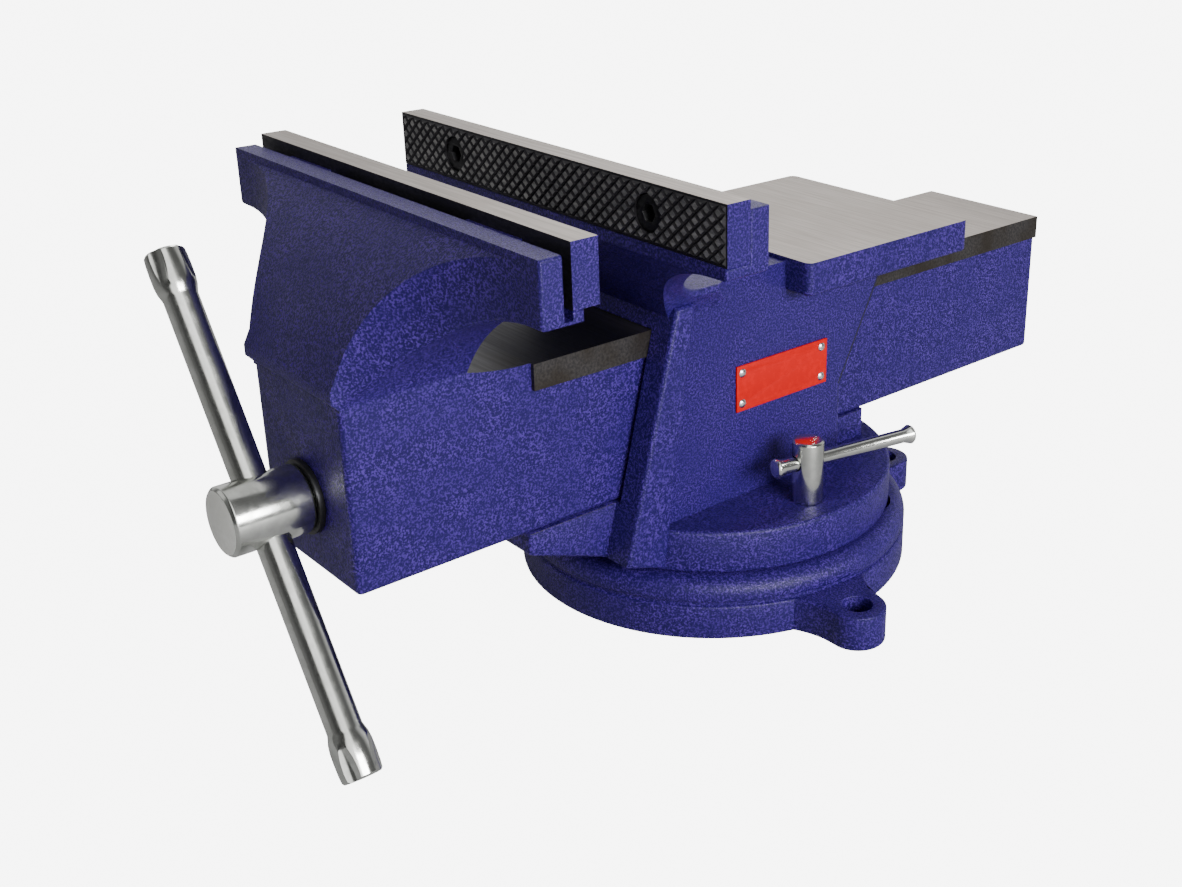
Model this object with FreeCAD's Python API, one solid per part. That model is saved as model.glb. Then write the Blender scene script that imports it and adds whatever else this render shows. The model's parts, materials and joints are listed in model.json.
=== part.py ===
import FreeCAD, Part
import math
import os

os.makedirs("parts", exist_ok=True)
V = FreeCAD.Vector

# Bench vise, millimetres. X runs along the jaws, Y along the screw (the handle
# is at -Y), Z is up. The origin is on the swivel axis, at the underside of the base.

# ---- driving dimensions: jaws
jaw_width = 200.0
jaw_opening = 50.0
jaw_rise = 62.1
jaw_end_height = 22.5
plate_height = 21.5
plate_thickness = 11.0
plate_rise = 3.5
fixed_grip_y = -83.0
seat_depth = 4.5
lip_thickness = 8.2
lip_slot_width = 3.3
lip_slot_extra_depth = 3.0
slot_pad_width = 30.0
fixed_backing = 9.0

# ---- driving dimensions: beam of the moving jaw
beam_width = 62.0
beam_height = 66.4
pedestal_rise = 12.7
beam_cast_rise = 3.6
beam_length = 366.0
head_depth = 32.5
beam_wall = 9.5
beam_roof = 11.0
beam_front_wall = 16.0
rail_proud = 1.8
rail_height = 10.2
rail_front_gap = 30.5
cutter_radius = 110.0
beam_edge_radius = 2.5

# ---- driving dimensions: head of the moving jaw
nose_overhang = 2.7
nose_bottom_rise = 1.8
nose_top_rise = 5.8
brow_rise = 11.0
crown_drop = 3.0
front_bulge = 4.7
arch_end_inset = 5.0
scoop_end_inset = 10.0

# ---- driving dimensions: fixed body
channel_clearance = 0.4
floor_clearance = 0.3
cheek_thickness = 6.8
rib_proud = 5.0
cheek_front_inset = 15.0
cheek_front_lean = 26.0
rib_width_top = 9.0
rib_width_bottom = 19.0
cheek_rear_top_y = 62.0
cheek_rear_bottom_y = 38.0
cheek_rear_break_z = 77.0
pedestal_rear_y = 62.0
chin_front_y = -118.0
chin_tip_height = 9.0
chin_root_y = -60.0
neck_length = 55.0
neck_top_drop = 1.7
rib_top_rise = 10.2
head_root_depth = 2.0
ledge_inset = 0.5
back_fillet = 20.0
anvil_width = 107.0
anvil_front_y = 3.3
anvil_rear_y = 99.7
anvil_rise = 17.3
anvil_thickness = 13.7

# ---- driving dimensions: rounding of the cast edges
head_edge_radius = 1.8
jaw_end_radius = 1.2
anvil_corner_radius = 3.0
anvil_edge_radius = 1.5
rib_edge_radius = 2.0
disc_edge_radius = 1.6

# ---- driving dimensions: swivel
disc_radius = 76.8
disc_thickness = 17.8
swivel_gap = 0.2
base_height = 25.3
base_radius = 84.0
flange_height = 14.6
flange_groove_height = 1.6
flange_groove_depth = 1.0
ring_top_inset = 6.5
spigot_radius = 20.0
spigot_height = 12.0
spigot_end_gap = 1.0
running_clearance = 0.05
lug_turn_deg = -7.0
lug_step_deg = 90.0
lug_count = 3
lug_hole_overhang = 15.3
lug_radius = 11.5
lug_hole_radius = 6.0
lug_neck_width = 46.0
lug_root_inset = 8.0
lug_waist_offset = 4.0
lug_waist_extra = 3.0

# ---- driving dimensions: swivel lock
lock_edge_inset = 15.8
lock_y = -3.0
lock_post_radius = 6.4
lock_post_height = 26.6
lock_post_gap = 0.2
lock_shank_radius = 5.0
lock_hole_clearance = 0.5
lock_bar_radius = 2.9
lock_bar_hole_clearance = 0.3
lock_bar_drop = 9.4
lock_bar_length = 68.0
lock_bar_near_reach = 16.0
lock_bar_turn_deg = 79.0
lock_bar_end_radius = 4.1
lock_bar_end_length = 4.5
lock_post_chamfer = 0.8
bar_end_chamfer = 0.6
bar_end_land = 1.0
clamp_nut_width = 23.0
clamp_nut_length = 20.0
clamp_nut_height = 9.0
clamp_nut_gap = 0.4
groove_floor = 5.0
groove_lip = 8.0
groove_clearance = 0.8
groove_corner_gap = 0.3

# ---- driving dimensions: screw, nut and handle
screw_rise = 27.75
screw_radius = 11.0
screw_clearance = 0.08
screw_rear_inset = 10.0
screw_core_radius = 8.5
screw_tip_length = 8.0
head_radius = 12.5
head_length = 29.4
head_chamfer = 1.2
washer_radius = 13.6
washer_thickness = 2.2
collar_radius = 17.0
collar_length = 12.0
collar_gap = 0.4
pin_radius = 2.5
handle_radius = 6.1
handle_hole_clearance = 0.3
handle_length = 192.0
handle_turn_deg = 124.8
handle_end_radius = 7.4
handle_flare_length = 15.0
handle_flute_radius = 5.0
handle_flute_depth = 1.5
handle_flute_inset = 3.0
nut_width = 40.0
nut_length = 44.0
nut_cover = 7.5
nut_foot_length = 82.0
nut_foot_height = 12.0
nut_bolt_radius = 5.0
nut_bolt_spacing = 62.0
nut_bolt_depth = 9.0
nut_bolt_head_radius = 8.0
nut_bolt_head_height = 5.5
nut_bolt_pocket_depth = 8.0
nut_washer_thickness = 1.6
nut_washer_radius = 9.0
bolt_hole_clearance = 0.5

# ---- driving dimensions: jaw plate screws, nameplate
plate_screw_x = 60.1
plate_screw_radius = 4.0
plate_screw_head_radius = 6.5
plate_screw_head_height = 7.0
plate_screw_recess = 1.0
plate_screw_head_clearance = 0.4
plate_screw_grip = 7.5
socket_across_flats = 6.0
socket_depth = 4.0
nameplate_length = 50.8
nameplate_height = 19.4
nameplate_thickness = 0.8
nameplate_y = 2.1
nameplate_z = 90.3
rivet_radius = 1.1
rivet_head_radius = 1.9
rivet_head_height = 0.8
rivet_depth = 4.0
rivet_inset = 3.2

# ---- places worked out from the dimensions
jaw_half = jaw_width / 2
disc_bottom_z = base_height + swivel_gap
disc_top_z = disc_bottom_z + disc_thickness
beam_bottom_z = disc_top_z + pedestal_rise
beam_top_z = beam_bottom_z + beam_height
jaw_top_z = beam_top_z + jaw_rise
anvil_top_z = beam_top_z + anvil_rise
screw_z = beam_bottom_z + screw_rise
plate_top_z = jaw_top_z + plate_rise
plate_bottom_z = plate_top_z - plate_height
jaw_end_bottom_z = jaw_top_z - jaw_end_height
fixed_seat_y = fixed_grip_y + plate_thickness
fixed_back_y = fixed_seat_y + fixed_backing
neck_rear_y = fixed_back_y + neck_length
cheek_front_top_y = fixed_seat_y + cheek_front_inset
cheek_front_bottom_y = cheek_front_top_y - cheek_front_lean
moving_grip_y = fixed_grip_y - jaw_opening
moving_seat_y = moving_grip_y - plate_thickness
lip_back_y = moving_seat_y - lip_slot_width
lip_front_y = lip_back_y - lip_thickness
moving_ledge_y = moving_seat_y + seat_depth
beam_front_y = lip_front_y - head_depth
beam_rear_y = beam_front_y + beam_length
rail_front_y = moving_seat_y + rail_front_gap
screw_rear_y = beam_rear_y - screw_rear_inset
beam_half = beam_width / 2
rail_half = beam_half + rail_proud
beam_cast_z = beam_top_z + beam_cast_rise
brow_z = beam_cast_z + brow_rise
channel_half = rail_half + channel_clearance
cheek_outer = channel_half + cheek_thickness
rib_outer = cheek_outer + rib_proud
channel_top_z = beam_top_z + channel_clearance
floor_z = beam_bottom_z - floor_clearance
neck_z = anvil_top_z - neck_top_drop
rib_top_z = channel_top_z + rib_top_rise
lock_x = disc_radius - lock_edge_inset
lug_hole_distance = base_radius + lug_hole_overhang
lock_circle = math.hypot(lock_x, lock_y)
lock_bar_z = disc_top_z + lock_post_height - lock_bar_drop
groove_roof_z = base_height - groove_lip
clamp_nut_top_z = groove_roof_z - clamp_nut_gap
head_back_y = beam_front_y - washer_thickness
head_front_y = head_back_y - head_length
handle_y = (head_front_y + head_back_y) / 2
front_wall_back_y = beam_front_y + beam_front_wall
plate_screw_z = plate_bottom_z + plate_height / 2
overlap = 1.0
deep = 400.0


# ---- small helpers
def box(x0, x1, y0, y1, z0, z1):
    return Part.makeBox(x1 - x0, y1 - y0, z1 - z0, V(x0, y0, z0))


def rod(radius, start, direction, length):
    return Part.makeCylinder(radius, length, start, direction)


def arc(p0, p1, p2):
    return Part.Arc(p0, p1, p2).toShape()


def line(p0, p1):
    return Part.makeLine(p0, p1)


def prism(points, sweep):
    wire = Part.makePolygon(points + [points[0]])
    return Part.Face(wire).extrude(sweep)


def side_prism(outline, x0, x1):
    points = [V(x0, y, z) for y, z in outline]
    return prism(points, V(x1 - x0, 0, 0))


def join(shapes):
    return shapes[0].multiFuse(shapes[1:]).removeSplitter()


def rounded(shape, radius, wanted):
    return shape.makeFillet(radius, [edge for edge in shape.Edges if wanted(edge)])


def is_swept_below(edge):
    """True for the long curves where the arch under a head meets its scooped flank."""
    return edge.Curve.TypeId == "Part::GeomBSplineCurve" and edge.BoundBox.ZMax < jaw_end_bottom_z


def is_on_jaw_end(edge):
    span = edge.BoundBox
    return span.XLength < 0.01 and abs(abs(span.XMin) - jaw_half) < 0.01


def tangent_arc(start_u, start_v, end_u, end_v):
    """Middle point of the arc from start to end that runs level (along u) at its end."""
    du = end_u - start_u
    dv = end_v - start_v
    radius = (du * du + dv * dv) / (2 * dv)
    centre_v = end_v - radius
    out_u = (start_u - end_u) / 2
    out_v = (start_v + end_v) / 2 - centre_v
    stretch = abs(radius) / math.hypot(out_u, out_v)
    return end_u + out_u * stretch, centre_v + out_v * stretch


def flare_face(inner, inner_v, outer, outer_v, tip, far_v, place):
    """A symmetric outline: a neck of half width inner that flares in an arc to the tip,
    then runs straight to far_v. place turns (u, v) into a point."""
    mid_u, mid_v = tangent_arc(inner, inner_v, outer, outer_v)
    edges = [
        arc(place(inner, inner_v), place(mid_u, mid_v), place(outer, outer_v)),
        line(place(outer, outer_v), place(tip, outer_v)),
        line(place(tip, outer_v), place(tip, far_v)),
        line(place(tip, far_v), place(-tip, far_v)),
        line(place(-tip, far_v), place(-tip, outer_v)),
        line(place(-tip, outer_v), place(-outer, outer_v)),
        arc(place(-outer, outer_v), place(-mid_u, mid_v), place(-inner, inner_v)),
    ]
    return edges


def closed_face(edges):
    return Part.Face(Part.Wire(edges))


def hexagon(across_flats, centre, direction_y, depth):
    corner = across_flats / math.sqrt(3)
    points = []
    for k in range(6):
        turn = math.radians(60 * k)
        points.append(centre + V(corner * math.cos(turn), 0, corner * math.sin(turn)))
    return prism(points, V(0, direction_y * depth, 0))


# ---- moving jaw: one casting, a head on a sliding beam
def moving_head():
    root_z = beam_cast_z - 2 * overlap
    front_view = flare_face(
        beam_half, beam_cast_z, jaw_half - arch_end_inset, jaw_end_bottom_z, jaw_half, jaw_top_z,
        lambda u, v: V(u, -deep / 2, v))
    front_view += [
        line(V(-beam_half, -deep / 2, beam_cast_z), V(-beam_half, -deep / 2, root_z)),
        line(V(-beam_half, -deep / 2, root_z), V(beam_half, -deep / 2, root_z)),
        line(V(beam_half, -deep / 2, root_z), V(beam_half, -deep / 2, beam_cast_z)),
    ]
    front_block = closed_face(front_view).extrude(V(0, deep, 0))
    nose_y = beam_front_y - nose_overhang
    plan = flare_face(
        beam_half, beam_front_y, jaw_half - scoop_end_inset, lip_front_y, jaw_half, moving_ledge_y,
        lambda u, v: V(u, v, 0))
    plan += [
        line(V(-beam_half, beam_front_y, 0), V(-beam_half, nose_y, 0)),
        line(V(-beam_half, nose_y, 0), V(beam_half, nose_y, 0)),
        line(V(beam_half, nose_y, 0), V(beam_half, beam_front_y, 0)),
    ]
    plan_block = closed_face(plan).extrude(V(0, 0, deep))
    brow_y = beam_front_y
    crown_z = jaw_top_z - crown_drop
    chord = V(0, lip_front_y - brow_y, crown_z - brow_z)
    outward = V(0, -chord.z, chord.y).normalize()
    middle = V(-deep / 2, (lip_front_y + brow_y) / 2, (crown_z + brow_z) / 2) + outward * front_bulge
    corners = [
        (brow_y, brow_z), (nose_y, beam_cast_z + nose_top_rise),
        (nose_y, beam_cast_z + nose_bottom_rise), (brow_y, beam_cast_z - overlap), (brow_y, root_z),
        (moving_ledge_y, root_z), (moving_ledge_y, plate_bottom_z), (moving_seat_y, plate_bottom_z),
        (moving_seat_y, jaw_top_z), (lip_front_y, jaw_top_z), (lip_front_y, crown_z),
    ]
    points = [V(-deep / 2, y, z) for y, z in corners]
    edges = [line(a, b) for a, b in zip(points, points[1:])]
    edges.append(arc(points[-1], middle, points[0]))
    side_block = closed_face(edges).extrude(V(deep, 0, 0))
    head = front_block.common(plan_block).common(side_block)
    return rounded(rounded(head, head_edge_radius, is_swept_below), jaw_end_radius, is_on_jaw_end)


def beam():
    cast = box(-beam_half, beam_half, beam_front_y, beam_rear_y, beam_bottom_z, beam_cast_z)
    front_edges = []
    for edge in cast.Edges:
        middle = edge.BoundBox.Center
        on_front = abs(middle.y - beam_front_y) < 0.01 and abs(middle.z - beam_cast_z) > 1
        below = abs(middle.z - beam_bottom_z) < 0.01 and abs(middle.x) > 1
        if on_front or below:
            front_edges.append(edge)
    cast = cast.makeFillet(beam_edge_radius, front_edges)
    milled = box(-beam_width, beam_width, rail_front_y, beam_rear_y + overlap,
                 beam_top_z, beam_cast_z + overlap)
    run_out = rod(cutter_radius, V(-beam_width, rail_front_y, beam_top_z + cutter_radius),
                  V(1, 0, 0), 2 * beam_width)
    run_out = run_out.common(box(-beam_width, beam_width, rail_front_y - cutter_radius,
                                 rail_front_y + overlap, beam_top_z - overlap, beam_cast_z + overlap))
    rails = box(-rail_half, rail_half, rail_front_y, beam_rear_y, beam_top_z - rail_height, beam_top_z)
    return join([cast.cut(milled).cut(run_out), rails])


def moving_jaw():
    body = join([beam(), moving_head()])
    slot = box(-jaw_width, jaw_width, lip_back_y, moving_seat_y,
               plate_bottom_z - lip_slot_extra_depth, jaw_top_z + overlap)
    for side in (-1, 1):
        pad_x = side * plate_screw_x
        slot = slot.cut(box(pad_x - slot_pad_width / 2, pad_x + slot_pad_width / 2,
                            lip_back_y - overlap, moving_seat_y + overlap,
                            plate_bottom_z - 2 * lip_slot_extra_depth, jaw_top_z - overlap))
    inner = beam_half - beam_wall
    trough = box(-inner, inner, front_wall_back_y, beam_rear_y + overlap,
                 beam_bottom_z - overlap, beam_top_z - beam_roof)
    bore = rod(screw_radius + running_clearance, V(0, beam_front_y - beam_front_wall, screw_z), V(0, 1, 0),
               3 * beam_front_wall)
    body = body.cut(slot).cut(trough).cut(bore)
    for side in (-1, 1):
        hole = rod(plate_screw_radius, V(side * plate_screw_x, moving_seat_y + overlap, plate_screw_z),
                   V(0, -1, 0), plate_screw_grip + overlap)
        body = body.cut(hole)
    return body


# ---- fixed body: cheeks, chin, disc, jaw head and anvil in one casting
def fixed_head():
    start = -deep / 2
    root = cheek_outer - head_root_depth
    root_z = channel_top_z - head_root_depth
    front_view = flare_face(
        root, channel_top_z, jaw_half - arch_end_inset, jaw_end_bottom_z, jaw_half, jaw_top_z,
        lambda u, v: V(u, start, v))
    front_view += [
        line(V(-root, start, channel_top_z), V(-root, start, root_z)),
        line(V(-root, start, root_z), V(root, start, root_z)),
        line(V(root, start, root_z), V(root, start, channel_top_z)),
    ]
    front_block = closed_face(front_view).extrude(V(0, deep, 0))
    plan = flare_face(
        root, neck_rear_y, jaw_half - scoop_end_inset, fixed_back_y, jaw_half, fixed_grip_y,
        lambda u, v: V(u, v, 0))
    neck_end_y = anvil_front_y + overlap
    plan += [
        line(V(-root, neck_rear_y, 0), V(-root, neck_end_y, 0)),
        line(V(-root, neck_end_y, 0), V(root, neck_end_y, 0)),
        line(V(root, neck_end_y, 0), V(root, neck_rear_y, 0)),
    ]
    plan_block = closed_face(plan).extrude(V(0, 0, deep))
    drop = back_fillet * (1 - math.sqrt(0.5))
    corners = [
        (fixed_back_y + back_fillet, neck_z), (neck_end_y, neck_z), (neck_end_y, root_z),
        (cheek_front_top_y + head_root_depth, root_z),
        (cheek_front_top_y + head_root_depth, channel_top_z + head_root_depth),
        (fixed_grip_y + ledge_inset, jaw_end_bottom_z),
        (fixed_grip_y + ledge_inset, plate_bottom_z), (fixed_seat_y, plate_bottom_z),
        (fixed_seat_y, jaw_top_z), (fixed_back_y, jaw_top_z), (fixed_back_y, neck_z + back_fillet),
    ]
    points = [V(start, y, z) for y, z in corners]
    edges = [line(a, b) for a, b in zip(points, points[1:])]
    edges.append(arc(points[-1], V(start, fixed_back_y + drop, neck_z + drop), points[0]))
    side_block = closed_face(edges).extrude(V(deep, 0, 0))
    head = front_block.common(plan_block).common(side_block)
    return rounded(rounded(head, head_edge_radius, is_swept_below), jaw_end_radius, is_on_jaw_end)


def underside_z(y):
    """Height of the sloping underside, from the chin's tip back to the disc."""
    tip_z = floor_z - chin_tip_height
    share = (y - chin_front_y) / (chin_root_y - chin_front_y)
    return tip_z + share * (disc_bottom_z - tip_z)


def cheek_block():
    """Both cheeks, their floor and their roof as one block; the channel is cut out of it later."""
    rib_rear_y = cheek_front_bottom_y + rib_width_bottom
    wall = side_prism([
        (cheek_front_bottom_y, underside_z(cheek_front_bottom_y)), (chin_root_y, disc_bottom_z),
        (cheek_rear_bottom_y, disc_bottom_z), (cheek_rear_bottom_y, cheek_rear_break_z),
        (cheek_rear_top_y, channel_top_z), (cheek_rear_top_y, neck_z),
        (cheek_front_top_y + rib_width_top, neck_z), (cheek_front_top_y, rib_top_z),
    ], -cheek_outer, cheek_outer)
    rib = side_prism([
        (cheek_front_bottom_y, underside_z(cheek_front_bottom_y)), (rib_rear_y, underside_z(rib_rear_y)),
        (cheek_front_top_y + rib_width_top, rib_top_z), (cheek_front_top_y, rib_top_z),
    ], -rib_outer, rib_outer)
    rib = rounded(rib, rib_edge_radius, lambda edge: abs(abs(edge.BoundBox.Center.x) - rib_outer) < 0.01)
    return wall.fuse(rib)


def chin():
    return side_prism([
        (chin_front_y, floor_z), (chin_front_y, floor_z - chin_tip_height),
        (chin_root_y, disc_bottom_z), (pedestal_rear_y, disc_bottom_z), (pedestal_rear_y, floor_z),
    ], -beam_half, beam_half)


def fixed_body():
    disc = rod(disc_radius, V(0, 0, disc_bottom_z), V(0, 0, 1), disc_thickness)
    disc = rounded(disc, disc_edge_radius, lambda edge: edge.BoundBox.ZMin > disc_top_z - 0.01)
    anvil_bottom_z = anvil_top_z - anvil_thickness
    anvil = box(-anvil_width / 2, anvil_width / 2, anvil_front_y, anvil_rear_y, anvil_bottom_z, anvil_top_z)
    anvil = rounded(anvil, anvil_corner_radius, lambda edge: edge.BoundBox.ZLength > 1)
    anvil = rounded(anvil, anvil_edge_radius, lambda edge: edge.BoundBox.ZMax < anvil_bottom_z + 0.01)
    channel = box(-channel_half, channel_half, -deep, deep, floor_z, channel_top_z)
    body = join([disc, cheek_block(), chin(), anvil, fixed_head()]).cut(channel)
    spigot_bore = rod(spigot_radius + running_clearance, V(0, 0, disc_bottom_z - overlap), V(0, 0, 1),
                      overlap + spigot_height + spigot_end_gap)
    body = body.cut(spigot_bore)
    for side in (-1, 1):
        lock_hole = rod(lock_shank_radius + lock_hole_clearance,
                        V(side * lock_x, lock_y, disc_bottom_z - overlap), V(0, 0, 1),
                        disc_thickness + 2 * overlap)
        bolt_y = side * nut_bolt_spacing / 2
        bolt_hole = rod(nut_bolt_radius + bolt_hole_clearance, V(0, bolt_y, disc_bottom_z - overlap),
                        V(0, 0, 1), floor_z - disc_bottom_z + 2 * overlap)
        pocket = rod(nut_washer_radius + bolt_hole_clearance, V(0, bolt_y, disc_bottom_z - overlap),
                     V(0, 0, 1), nut_bolt_pocket_depth + overlap)
        plate_hole = rod(plate_screw_radius, V(side * plate_screw_x, fixed_seat_y - overlap, plate_screw_z),
                         V(0, 1, 0), plate_screw_grip + overlap)
        body = body.cut(lock_hole).cut(bolt_hole).cut(pocket).cut(plate_hole)
    for y, z in rivet_places():
        body = body.cut(rod(rivet_radius, V(cheek_outer + overlap, y, z), V(-1, 0, 0), rivet_depth + overlap))
    return body


# ---- jaw plates and their screws
def jaw_plate(grip_y, back_y):
    facing = math.copysign(1, back_y - grip_y)
    low_y = min(grip_y, back_y)
    plate = box(-jaw_half, jaw_half, low_y, low_y + plate_thickness, plate_bottom_z, plate_top_z)
    for side in (-1, 1):
        start = V(side * plate_screw_x, grip_y - facing * overlap, plate_screw_z)
        sink = rod(plate_screw_head_radius + plate_screw_head_clearance, start, V(0, facing, 0),
                   overlap + plate_screw_recess + plate_screw_head_height)
        hole = rod(plate_screw_radius + plate_screw_head_clearance, start, V(0, facing, 0),
                   plate_thickness + 2 * overlap)
        plate = plate.cut(sink).cut(hole)
    return plate


def plate_screws(grip_y, facing):
    screws = []
    shank = plate_thickness - plate_screw_recess - plate_screw_head_height + plate_screw_grip
    for side in (-1, 1):
        top = V(side * plate_screw_x, grip_y + facing * plate_screw_recess, plate_screw_z)
        head = rod(plate_screw_head_radius, top, V(0, facing, 0), plate_screw_head_height)
        stem = rod(plate_screw_radius, top + V(0, facing * plate_screw_head_height, 0),
                   V(0, facing, 0), shank)
        socket = hexagon(socket_across_flats, top, facing, socket_depth)
        screws.append(head.fuse(stem).removeSplitter().cut(socket))
    return Part.makeCompound(screws)


# ---- screw, its washer, collar and pin, the nut and its bolts
def spindle():
    head = rod(head_radius, V(0, head_front_y, screw_z), V(0, 1, 0), head_length)
    rims = [edge for edge in head.Edges if abs(edge.BoundBox.YLength) < 0.01]
    head = head.makeChamfer(head_chamfer, rims)
    stem = rod(screw_radius, V(0, head_back_y - overlap, screw_z), V(0, 1, 0),
               screw_rear_y - head_back_y + overlap)
    tip = rod(screw_core_radius, V(0, screw_rear_y - overlap, screw_z), V(0, 1, 0),
              screw_tip_length + overlap)
    along = handle_direction()
    cross_hole = rod(handle_radius + handle_hole_clearance,
                     V(0, handle_y, screw_z) - along * 2 * head_radius, along, 4 * head_radius)
    pin_hole = rod(pin_radius, V(0, collar_middle_y(), screw_z - 2 * screw_radius), V(0, 0, 1),
                   4 * screw_radius)
    return join([head, stem, tip]).cut(cross_hole).cut(pin_hole)


def collar_middle_y():
    return front_wall_back_y + collar_gap + collar_length / 2


def thrust_washer():
    start = V(0, head_back_y, screw_z)
    ring = rod(washer_radius, start, V(0, 1, 0), washer_thickness)
    return ring.cut(rod(screw_radius, start, V(0, 1, 0), washer_thickness))


def spindle_collar():
    start = V(0, front_wall_back_y + collar_gap, screw_z)
    ring = rod(collar_radius, start, V(0, 1, 0), collar_length)
    ring = ring.cut(rod(screw_radius, start, V(0, 1, 0), collar_length))
    return ring.cut(rod(pin_radius, V(0, collar_middle_y(), screw_z - 2 * collar_radius),
                        V(0, 0, 1), 4 * collar_radius))


def collar_pin():
    return rod(pin_radius, V(0, collar_middle_y(), screw_z - collar_radius), V(0, 0, 1), 2 * collar_radius)


def spindle_nut():
    half = nut_width / 2
    top_z = screw_z + screw_radius + nut_cover
    tower = box(-half, half, -nut_length / 2, nut_length / 2, floor_z, top_z)
    corners = [e for e in tower.Edges if abs(e.BoundBox.ZMin - top_z) < 0.01 and e.BoundBox.YLength > 1]
    tower = tower.makeFillet(nut_cover, corners)
    foot = box(-half, half, -nut_foot_length / 2, nut_foot_length / 2, floor_z, floor_z + nut_foot_height)
    nut = join([tower, foot])
    nut = nut.cut(rod(screw_radius + screw_clearance, V(0, -nut_length, screw_z), V(0, 1, 0), 2 * nut_length))
    for side in (-1, 1):
        nut = nut.cut(rod(nut_bolt_radius, V(0, side * nut_bolt_spacing / 2, floor_z - overlap),
                          V(0, 0, 1), nut_bolt_depth + overlap))
    return nut


def nut_bolts():
    pocket_z = disc_bottom_z + nut_bolt_pocket_depth
    head_z = pocket_z - nut_washer_thickness - nut_bolt_head_height
    bolts = []
    for side in (-1, 1):
        bolt_y = side * nut_bolt_spacing / 2
        points = []
        for k in range(6):
            turn = math.radians(60 * k)
            points.append(V(nut_bolt_head_radius * math.cos(turn),
                            bolt_y + nut_bolt_head_radius * math.sin(turn), head_z))
        head = prism(points, V(0, 0, nut_bolt_head_height))
        shank = rod(nut_bolt_radius, V(0, bolt_y, head_z), V(0, 0, 1), floor_z + nut_bolt_depth - head_z)
        bolts.append(head.fuse(shank).removeSplitter())
    return Part.makeCompound(bolts)


def nut_washers():
    washers = []
    for side in (-1, 1):
        start = V(0, side * nut_bolt_spacing / 2,
                  disc_bottom_z + nut_bolt_pocket_depth - nut_washer_thickness)
        ring = rod(nut_washer_radius, start, V(0, 0, 1), nut_washer_thickness)
        washers.append(ring.cut(rod(nut_bolt_radius, start, V(0, 0, 1), nut_washer_thickness)))
    return Part.makeCompound(washers)


# ---- handle
def handle_direction():
    turn = math.radians(handle_turn_deg)
    return V(math.cos(turn), 0, math.sin(turn))


def swaged_bar(radius, end_radius, flare, length):
    """A bar along Z from 0 to length with both ends spread by pressing."""
    profile = [
        V(0, 0, 0), V(end_radius - bar_end_chamfer, 0, 0), V(end_radius, 0, bar_end_land),
        V(radius, 0, flare), V(radius, 0, length - flare), V(end_radius, 0, length - bar_end_land),
        V(end_radius - bar_end_chamfer, 0, length),
        V(0, 0, length),
    ]
    face = Part.Face(Part.makePolygon(profile + [profile[0]]))
    return face.revolve(V(0, 0, 0), V(0, 0, 1), 360)


def handle_bar():
    bar = swaged_bar(handle_radius, handle_end_radius, handle_flare_length, handle_length)
    reach = handle_end_radius - handle_flute_depth + handle_flute_radius
    flute_length = handle_flare_length - handle_flute_inset
    for k in range(4):
        turn = math.radians(45 + 90 * k)
        for z in (-overlap, handle_length - flute_length):
            start = V(reach * math.cos(turn), reach * math.sin(turn), z)
            bar = bar.cut(rod(handle_flute_radius, start, V(0, 0, 1), flute_length + overlap))
    bar.rotate(V(0, 0, 0), V(0, 1, 0), 90 - handle_turn_deg)
    bar.translate(V(0, handle_y, screw_z) - handle_direction() * (handle_length / 2))
    return bar


# ---- swivel base, lock bolts and clamp nuts
def swivel_base():
    groove_z = flange_height + flange_groove_height
    crown = base_radius - ring_top_inset
    bulge = math.sqrt(0.5) * ring_top_inset
    profile = [
        line(V(0, 0, 0), V(base_radius, 0, 0)),
        line(V(base_radius, 0, 0), V(base_radius, 0, flange_height)),
        line(V(base_radius, 0, flange_height), V(base_radius - flange_groove_depth, 0, flange_height)),
        line(V(base_radius - flange_groove_depth, 0, flange_height),
             V(base_radius - flange_groove_depth, 0, groove_z)),
        line(V(base_radius - flange_groove_depth, 0, groove_z), V(base_radius, 0, groove_z)),
        line(V(base_radius, 0, groove_z), V(base_radius, 0, base_height - ring_top_inset)),
        arc(V(base_radius, 0, base_height - ring_top_inset),
            V(crown + bulge, 0, base_height - ring_top_inset + bulge), V(crown, 0, base_height)),
        line(V(crown, 0, base_height), V(0, 0, base_height)),
        line(V(0, 0, base_height), V(0, 0, 0)),
    ]
    ring = closed_face(profile).revolve(V(0, 0, 0), V(0, 0, 1), 360)
    spigot = rod(spigot_radius, V(0, 0, base_height - overlap), V(0, 0, 1), spigot_height + overlap)
    neck_half = lock_shank_radius + groove_clearance
    wide_half = clamp_nut_width / 2 + groove_clearance
    neck = rod(lock_circle + neck_half, V(0, 0, groove_roof_z - overlap), V(0, 0, 1),
               groove_lip + 2 * overlap)
    neck = neck.cut(rod(lock_circle - neck_half, V(0, 0, 0), V(0, 0, 1), deep))
    corner_reach = math.hypot(lock_circle + clamp_nut_width / 2, clamp_nut_length / 2)
    wide = rod(corner_reach + groove_corner_gap, V(0, 0, groove_floor), V(0, 0, 1),
               groove_roof_z - groove_floor)
    wide = wide.cut(rod(lock_circle - wide_half, V(0, 0, 0), V(0, 0, 1), deep))
    base = join([ring, spigot, lugs()])
    entry_turn = math.radians(lug_turn_deg + lug_step_deg / 2)
    entry = rod(math.hypot(clamp_nut_width, clamp_nut_length) / 2 + groove_clearance,
                V(lock_circle * math.cos(entry_turn), lock_circle * math.sin(entry_turn), groove_floor),
                V(0, 0, 1), base_height)
    base = base.cut(neck).cut(wide).cut(entry)
    for x, y in lug_places():
        base = base.cut(rod(lug_hole_radius, V(x, y, -overlap), V(0, 0, 1), flange_height + 2 * overlap))
    return base


def lug_places():
    places = []
    for k in range(lug_count):
        turn = math.radians(lug_turn_deg + k * lug_step_deg)
        places.append((lug_hole_distance * math.cos(turn), lug_hole_distance * math.sin(turn)))
    return places


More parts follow.
